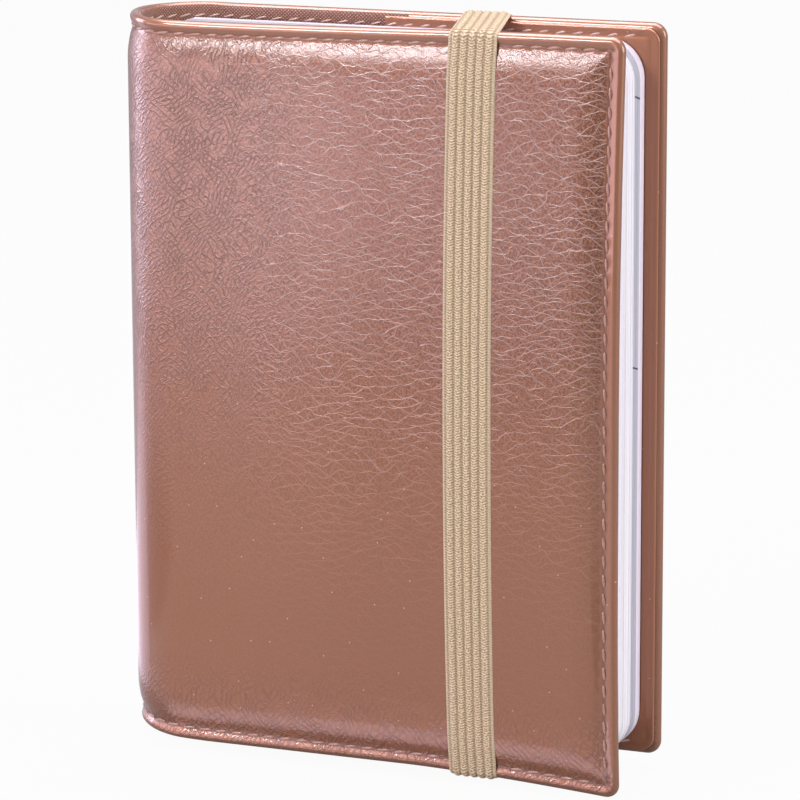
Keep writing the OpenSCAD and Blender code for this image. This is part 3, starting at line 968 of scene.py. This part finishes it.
BAND_AT = {"front": BAND_X, "back": TAB_X}
spots = seam_spots()
cloth = spots[spots[:, 0] < POCKET_START - 1 * MM]
flap = spots[spots[:, 0] > POCKET_START + 1 * MM]
mouth = columns(POCKET_START + 2 * MM, np.arange(TAIL + 6 * MM, HEAD - 6 * MM, 3.75 * MM), 0.0, 1.0)
ends = flap[flap[:, 2] > 0]
fore = np.concatenate([flap[flap[:, 3] > 0], mouth])
for word in SIDES:
    open_spots = clear_of_band(spots, BAND_AT[word])
    outer = sew("_seam_stitches", word, open_spots, in_groove, 6, (3.0, 0.72, 0.62), THREAD)
    bend_with(outer)
    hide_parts(word + "_stitching", "spine_stitching")
    inner = sew("_lining_stitches", word, cloth, on_lining, 14, (2.7, 0.46, 0.40), PALE_THREAD)
    bend_with(inner)
    pocket = sew("_pocket_stitches", word, ends, on_pocket, 14, (2.7, 0.60, 0.36), PALE_THREAD)
    border = sew("_fore_stitches", word, fore, on_pocket, 14, (2.7, 0.60, 0.10), BOBBIN)
    for piece in (pocket, border):
        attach(piece, word + "_cover")
    print(word, "seams:", [len(piece.data.polygons) for piece in (outer, inner, pocket, border)], "faces")

# %% [markdown]
# ## Page block
# A section is a stack of folded sheets, cut together, with rounded fore corners. The cut is never quite
# even, so thin slips a quarter of a millimetre thick are stacked with a tiny jitter. Geometry Nodes repeat
# the slip along a line of points, with a fixed seed.

# %% Tree that stacks slips of paper
def stacking_tree():
    tree, given = new_tree("Stacked slips", "Section", {
        "Slip": "Geometry", "Count": "Int", "Step": "Float", "Jitter": "Float", "Seed": "Int",
        "Paper": "Material"})
    offset = add(tree, "ShaderNodeCombineXYZ", {1: given["Step"]})
    row = add(tree, "GeometryNodeMeshLine", {"Count": given["Count"], "Offset": offset.outputs[0]})
    back = times(given["Jitter"], -1.0)
    low = add(tree, "ShaderNodeCombineXYZ", {0: back, 2: back})
    high = add(tree, "ShaderNodeCombineXYZ", {2: given["Jitter"]})
    limits = {0: low.outputs[0], 1: high.outputs[0], "Seed": given["Seed"]}
    shake = add(tree, "FunctionNodeRandomValue", limits, data_type="FLOAT_VECTOR")
    placed = add(tree, "GeometryNodeSetPosition", {"Geometry": row.outputs[0], "Offset": shake.outputs[0]})
    stack = {"Points": placed.outputs[0], "Instance": given["Slip"]}
    put = add(tree, "GeometryNodeInstanceOnPoints", stack)
    real = add(tree, "GeometryNodeRealizeInstances", {0: put.outputs[0]})
    finish = {"Geometry": real.outputs[0], "Material": given["Paper"]}
    add(tree, "NodeGroupOutput", {0: add(tree, "GeometryNodeSetMaterial", finish).outputs[0]})
    return tree


STACKING = stacking_tree()
print("stacking tree has", len(STACKING.nodes), "nodes")

# %% [markdown]
# One slip is a flat plate with two rounded corners. The front sections turn with one half of the pages. The
# back sections, the grey booklet and the closing section turn with the other half.

# %% Sections and booklet
PAGE_R = 8.0 * MM
PAGE_TURN = np.radians(np.linspace(0, 90, 9))
SLIP = 0.25 * MM
JITTER = 0.10 * MM


def slip_of_paper(name, low, high, thick):
    x = high.x - PAGE_R + PAGE_R * np.sin(PAGE_TURN)
    trim = PAGE_R - PAGE_R * np.cos(PAGE_TURN)
    tail_corner = columns(x, low.z + trim)
    head_corner = columns(x, high.z - trim)[::-1]
    outline = np.concatenate([[(low.x, low.z)], tail_corner, head_corner, [(low.x, high.z)]])
    n = len(outline)
    near = columns(outline[:, 0], low.y, outline[:, 1])
    far = columns(outline[:, 0], low.y + thick, outline[:, 1])
    walls = [[i, i + n, (i + 1) % n + n, (i + 1) % n] for i in range(n)]
    faces = [list(range(n)), list(range(2 * n - 1, n - 1, -1))] + walls
    mesh = bpy.data.meshes.new(name)
    mesh.from_pydata(np.concatenate([near, far]).tolist(), [], faces)
    return outward(into_scene(name, mesh))


SECTIONS = [("front_section_%d" % i, "front_pages", WEEK_PAPER, "page_paper", i) for i in (1, 2, 3, 4)]
SECTIONS += [("back_section_%d" % i, "back_pages", WEEK_PAPER, "page_paper", 10 + i) for i in (1, 2, 3)]
SECTIONS.append(("address_booklet", "back_pages", INDEX_PAPER, "grey_paper", 21))
SECTIONS.append(("end_section", "back_pages", NOTE_PAPER, "note_paper", 22))
for node, body, finish, slot, seed in SECTIONS:
    low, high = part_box(node)
    count = max(4, round((high.y - low.y) / SLIP))
    step = (high.y - low.y) / count
    piece = slip_of_paper(node + "_pages", low, high, step * 0.94)
    run_tree(piece, STACKING, {"Count": count, "Step": step, "Jitter": JITTER, "Seed": seed, "Paper": finish})
    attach(piece, body)
    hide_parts(node)
    print(piece.name, count, "slips")

# %% [markdown]
# The loose week leaves between the two halves are single sheets. When the planner opens, a real leaf springs
# out of the gutter in a curve.

# %% Leaves
GUTTER = 30 * MM


def loose_leaf(node):
    low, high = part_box(node)
    by_gutter = np.linspace(low.x, low.x + GUTTER, 25)
    by_page = np.linspace(low.x + GUTTER, high.x - PAGE_R, 12)[1:]
    by_fore = (high.x - PAGE_R + PAGE_R * np.sin(PAGE_TURN))[1:]
    x_lines = np.concatenate([by_gutter, by_page, by_fore])
    inset = np.clip(x_lines - (high.x - PAGE_R), 0, PAGE_R)
    trim = PAGE_R - np.sqrt(np.maximum(PAGE_R ** 2 - inset ** 2, 0))
    x, share = np.meshgrid(x_lines, np.linspace(0, 1, 25), indexing="ij")
    z = (low.z + trim)[:, None] + share * (high.z - low.z - 2 * trim)[:, None]
    near, far = columns(x, low.y, z), columns(x, high.y, z)
    piece = closed_shell(node + "_sheet", near, far, columns(x, z), LEAF_PAPER)
    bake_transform(piece)
    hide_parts(node)
    return piece


for node, body in (("leaf_1", "leaf_one"), ("leaf_2", "leaf_two"), ("leaf_3", "leaf_three")):
    print(loose_leaf(node).name, "laid in the gutter")

# %% [markdown]
# The endpapers, the two gauze tapes on the back of the block and its sewing thread are plain enough to stay
# solids. They only get a finish.

# %% Small pieces that keep their solids
KEPT = {"front_endpaper": END_PAPER, "back_endpaper": END_PAPER, "front_tape": GAUZE, "back_tape": GAUZE,
        "binding_thread": LINEN}
for node, finish in KEPT.items():
    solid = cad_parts[node]
    solid.data.materials.clear()
    solid.data.materials.append(finish)
print("dressed", ", ".join(KEPT))

# %% [markdown]
# ## Elastic band
# The band is one loop of ribbed elastic. It runs down the front, turns over the head and tail edges, and
# ends in slits in the back. It is built as a ribbon: a cross section with five ribs and two thin selvedges,
# swept along a path. The long span, the two straps and the two fixed ends are separate pieces, because they
# move apart when the planner opens.

# %% Ribbon builder
ACROSS = np.array([1.0, 0.0, 0.0])
BAND_GAP = 0.03 * MM
BAND_LIFT = 0.55 * MM
FOLD_R = BEAD_FLAT
FOLD = np.radians(np.linspace(0, 90, 9))


def band_section():
    w = np.linspace(-BAND_W / 2, BAND_W / 2, 73)
    rib = 0.5 + 0.5 * np.cos(2 * np.pi * w / RIB_STEP)
    in_ribs = ease((4.55 * MM - np.abs(w)) / (0.3 * MM))
    lift = 0.42 * MM + in_ribs * 0.34 * MM * rib ** 0.6
    return w, lift * np.sqrt(np.clip(1 - (np.abs(w) / (BAND_W / 2)) ** 24, 0.02, 1))


def ribbon(name, path, out, shift=0.0):
    w, lift = band_section()
    flat = path[:, None, :] + ACROSS * w[None, :, None]
    top = flat + out[:, None, :] * (BAND_GAP + lift)[None, :, None]
    bottom = flat + out[:, None, :] * BAND_GAP
    steps = np.linalg.norm(np.diff(path, axis=0), axis=1)
    run = np.concatenate([[0], np.cumsum(steps)]) + shift
    piece = closed_shell(name, top, bottom, columns(w[None, :], run[:, None]), ELASTIC)
    return piece


def edge_fold(x, side, edge, up):
    y = MID_Y + side * (HALF - FOLD_R + FOLD_R * np.cos(FOLD))
    z = edge - up * (FOLD_R - FOLD_R * np.sin(FOLD))
    return columns(x, y, z), columns(0.0, side * np.cos(FOLD), up * np.sin(FOLD))


print("ribbon has", len(band_section()[0]), "points across")

# %% [markdown]
# The span folds round the tail edge, runs up the bowed front a little clear of it, and folds round the head
# edge. Each point of the path has a way out of the cover, on which the ribbon's thickness stands.

# %% Long span on the front, with its two folds
tail_path, tail_out = edge_fold(BAND_X, -1, TAIL, -1)
head_path, head_out = edge_fold(BAND_X, -1, HEAD, 1)
z = np.linspace(TAIL + 3 * MM, HEAD - 3 * MM, 60)
lift = ease((z - TAIL - 2 * MM) / (6 * MM)) * ease((HEAD - 2 * MM - z) / (6 * MM))
front_path = columns(BAND_X, MID_Y - HALF - BAND_LIFT * lift, z)
span_path = bowed(np.concatenate([tail_path[::-1], front_path, head_path]))
span_out = np.concatenate([tail_out[::-1], columns(0.0, -1.0, 0 * z), head_out])
span = ribbon("band_span_elastic", span_path, span_out)
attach(span, "band_span")
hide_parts("band_front_span")
print("span", round(float(np.linalg.norm(np.diff(span_path, axis=0), axis=1).sum()) / MM), "mm long")

# %% [markdown]
# A strap crosses from the front edge to the back edge in a straight line and a little askew, as the band
# pulls itself. It shortens when the loop is put away behind the planner.

# %% Straps over the head and the tail
STRAP_LEN = 2 * HALF - 2 * FOLD_R
for node, z, up in (("band_head_strap", HEAD, 1), ("band_tail_strap", TAIL, -1)):
    t = np.linspace(0, 1, 21)
    path = columns(BAND_X + (TAB_X - BAND_X) * t, MID_Y - HALF + FOLD_R + t * STRAP_LEN, z)
    piece = ribbon(node + "_elastic", path, columns(0.0, 0 * t, float(up)), 0.2)
    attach(piece, "band_straps")
    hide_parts(node)
    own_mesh(piece)
    print(piece.name, "runs", round(STRAP_LEN / MM, 1), "mm")

# %% [markdown]
# Behind the planner each end folds round the edge, lies on the back cover and dips into its slit, where it
# is sewn in.

# %% Fixed ends on the back
DIP = np.radians(np.linspace(15, 75, 5))
DIP_START = 1.6 * MM
for node, edge, up in (("band_head_tab", HEAD, 1), ("band_tail_tab", TAIL, -1)):
    low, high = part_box(node)
    end = low.z if up > 0 else high.z
    fold_path, fold_out = edge_fold(TAB_X, 1, edge, up)
    z = np.linspace(edge - up * 3 * MM, end + up * DIP_START, 10)
    back_path = columns(TAB_X, MID_Y + HALF + BAND_LIFT * ease(np.abs(z - edge) / (8 * MM)), z)
    dip_y = MID_Y + HALF + BAND_LIFT - 1.2 * MM * (1 - np.cos(DIP))
    dip_path = columns(TAB_X, dip_y, end + up * (DIP_START - 1.4 * MM * np.sin(DIP)))
    dip_out = columns(0.0, np.cos(DIP), -up * np.sin(DIP))
    path = np.concatenate([fold_path[::-1], back_path, dip_path])
    out = np.concatenate([fold_out[::-1], columns(0.0, 1.0, 0 * z), dip_out])
    piece = ribbon(node + "_elastic", path, out, 0.3)
    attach(piece, "back_cover")
    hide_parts(node)
    print(piece.name, "sewn in at", round(end / MM, 1), "mm height")

# %% [markdown]
# ## Camera, floor and light
# The camera stands to the right of the front cover and a little above it, with a long lens, as a product
# photographer would stand back to keep the edges nearly parallel. Its place was fitted to the cover's
# edges.

# %% Camera
SENSOR = 36
FOCAL_PX, PICTURE_PX = 4330.3, 800
AZIMUTH, ELEVATION, ROLL = math.radians(21.98), math.radians(12.31), math.radians(-0.23)
DISTANCE = 0.900
TARGET = Vector((2.90 * MM, MID_Y, 75.22 * MM))
camera_data = bpy.data.cameras.new("camera")
camera_data.lens = FOCAL_PX / PICTURE_PX * SENSOR
camera_data.sensor_width = SENSOR
camera_data.sensor_fit = "HORIZONTAL"
camera_data.clip_end = 50
camera = into_scene("camera", camera_data)
level = math.cos(ELEVATION)
towards = Vector((math.sin(AZIMUTH) * level, -math.cos(AZIMUTH) * level, math.sin(ELEVATION)))
camera.location = TARGET + DISTANCE * towards
camera.rotation_mode = "QUATERNION"
camera.rotation_quaternion = (-towards).to_track_quat("-Z", "Y") @ Quaternion((0, 0, 1), ROLL)
scene.camera = camera
print("camera at", [round(c, 3) for c in camera.location])

# %% [markdown]
# The floor has two looks. To the camera most of its light is its own, so it reads as white paper and keeps
# only a soft trace of the shadow. To all other rays it is grey paper, so it throws less light up at the
# planner. The world does the same: plain white to the camera, a dimmer room to the planner.

# %% Floor and world
FLOOR_HALF = 30
FLOOR_GLOW = 0.95
floor_corners = [(x * FLOOR_HALF, y * FLOOR_HALF, 0) for x, y in ((-1, -1), (1, -1), (1, 1), (-1, 1))]
floor_mesh = bpy.data.meshes.new("floor")
floor_mesh.from_pydata(floor_corners, [], [(0, 1, 2, 3)])
floor = into_scene("floor", floor_mesh)
floor.location.z = cad_box[0][2] - 1.6 * MM
seamless = bpy.data.materials.new("seamless paper, white")
tree = empty_tree(seamless)
sweep = add(tree, "ShaderNodeBsdfDiffuse", {"Color": tone("#C4C4C5")})
glow = add(tree, "ShaderNodeEmission", {"Color": tone("#FFFFFF"), "Strength": 1.0})
seen = times(add(tree, "ShaderNodeLightPath").outputs["Is Camera Ray"], FLOOR_GLOW)
mixed = add(tree, "ShaderNodeMixShader", {0: seen, 1: sweep.outputs[0], 2: glow.outputs[0]})
add(tree, "ShaderNodeOutputMaterial", {"Surface": mixed.outputs[0]})
floor_mesh.materials.append(seamless)

scene.world = bpy.data.worlds.new("studio")
tree = empty_tree(scene.world)
room = add(tree, "ShaderNodeBackground", {"Color": tone("#F3F0F6"), "Strength": 0.66})
wall = add(tree, "ShaderNodeBackground", {"Color": tone("#FFFFFF"), "Strength": 1.0})
seen = add(tree, "ShaderNodeLightPath").outputs["Is Camera Ray"]
mixed = add(tree, "ShaderNodeMixShader", {0: seen, 1: room.outputs[0], 2: wall.outputs[0]})
add(tree, "ShaderNodeOutputWorld", {"Surface": mixed.outputs[0]})
print("floor at", round(floor.location.z / MM, 1), "mm")

# %% [markdown]
# Three lamps light the planner: a key from the front left, a wide fill from the right and a strip above.
# The cards give shine only: they show as reflections in the glossy film and light nothing else. The flat
# front mirrors the floor before it, so three of the cards lie there. A fourth lies beside the spine.

# %% Lamps and cards
CARD_Z = floor.location.z + 1 * MM
LAMPS = (  # name, place, aim, width, height, watts, colour, shine only
    ("key, front left and high", (-0.42, -0.85, 0.72), (0, 0, 0.10), 0.34, 0.12, 4.6, "#FCF8FF", False),
    ("right fill", (1.90, 0.10, 0.70), (0.05, 0, 0.08), 1.00, 1.20, 22.0, "#FFFFFF", False),
    ("top strip", (-0.15, 0.10, 0.80), (0, 0, 0.15), 0.90, 0.12, 2.4, "#FBF7FF", False),
    ("left card", (-0.85, 0.03, 0.20), (-0.03, 0, 0.08), 0.30, 0.60, 4.5, "#F4E8FF", True),
    ("head card", (0.0, 0.0, 0.75), (0, 0, 0.15), 0.90, 0.45, 9.0, "#FFF4FA", True),
    ("lilac card", (-0.29, -0.30, 0.112), (-0.02, 0, 0.112), 0.48, 0.12, 0.70, "#FFDFEE", True),
    ("far sheet card", (-0.12, -0.45, CARD_Z), (-0.12, -0.45, 0.5), 0.60, 0.54, 0.60, "#FFF2F2", True),
    ("side sheet card", (-0.42, 0.0575, CARD_Z), (-0.42, 0.0575, 0.5), 0.66, 0.145, 0.34, "#F2E4FF", True),
    ("near sheet card", (-0.035, -0.10, CARD_Z), (-0.035, -0.10, 0.5), 0.20, 0.16, 0.062, "#FFF2F2", True),
    ("table card", (0.0, -0.023, CARD_Z), (0.0, -0.023, 0.5), 0.11, 0.011, 0.0065, "#F6E6FF", True),
    ("glint card", (-0.42, -0.85, 0.59), (0, 0, 0.15), 0.40, 0.10, 4.5, "#FFF8FC", True),
)
for name, place, aim, width, height, watts, colour, shine_only in LAMPS:
    data = bpy.data.lights.new(name, "AREA")
    data.shape = "RECTANGLE"
    data.size = width
    data.size_y = height
    data.energy = watts
    data.color = tone(colour)[:3]
    lamp = into_scene(name, data)
    lamp.location = place
    lamp.rotation_mode = "QUATERNION"
    lamp.rotation_quaternion = (Vector(aim) - Vector(place)).to_track_quat("-Z", "Y")
    lamp.visible_camera = False
    lamp.visible_diffuse = not shine_only
print("lamps and cards set:", len(LAMPS))

# %% [markdown]
# ## Finish

# %% View transform
scene.view_settings.view_transform = "Standard"
